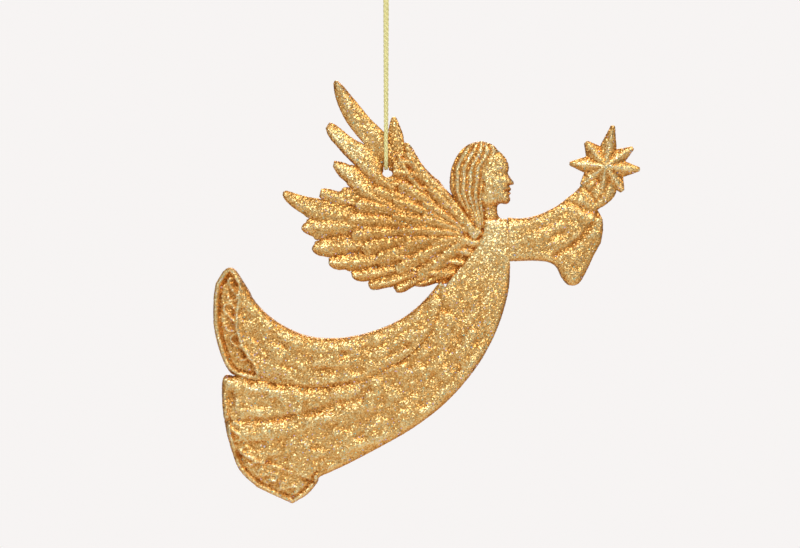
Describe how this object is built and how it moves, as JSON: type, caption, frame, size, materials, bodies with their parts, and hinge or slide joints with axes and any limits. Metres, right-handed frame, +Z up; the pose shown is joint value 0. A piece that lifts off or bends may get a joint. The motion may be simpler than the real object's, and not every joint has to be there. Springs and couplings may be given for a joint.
{
  "type": "hanging angel ornament",
  "caption": "Flat two-sided flying angel figurine in gold glitter, holding out a star, hung by a braided thread through its wings.",
  "frame": {"origin": "the hanging point, at the foot of the thread's knot, straight above the hole in the wings", "axes": "+Z up along the taut thread, +X the way the angel flies, +Y through the thickness towards the back"},
  "size_m": [0.1203, 0.0084, 0.1595],
  "materials": {
    "gold_glitter_resin": "moulded resin coated all over with fine gold glitter",
    "gold_thread": "braided metallic gold thread"
  },
  "bodies": {
    "hanger": {"cord_knot": "gold_thread"},
    "thread": {"hanging_cord": "gold_thread"},
    "figurine": {"gown": "gold_glitter_resin", "gown_train": "gold_glitter_resin", "head": "gold_glitter_resin", "hair": "gold_glitter_resin", "front_wing": "gold_glitter_resin", "rear_wing": "gold_glitter_resin", "sleeve": "gold_glitter_resin", "hand": "gold_glitter_resin", "star": "gold_glitter_resin"}
  },
  "joints": [
    {"name": "thread_twist", "type": "hinge", "parent": "hanger", "child": "thread", "pos_m": [0, 0, 0], "axis": [0, 0, 1], "range_deg": [-180, 180]},
    {"name": "thread_swing", "type": "hinge", "parent": "thread", "child": "figurine", "pos_m": [0, 0, -0.0541], "axis": [0, 1, 0], "range_deg": [-20, 20]}
  ]
}
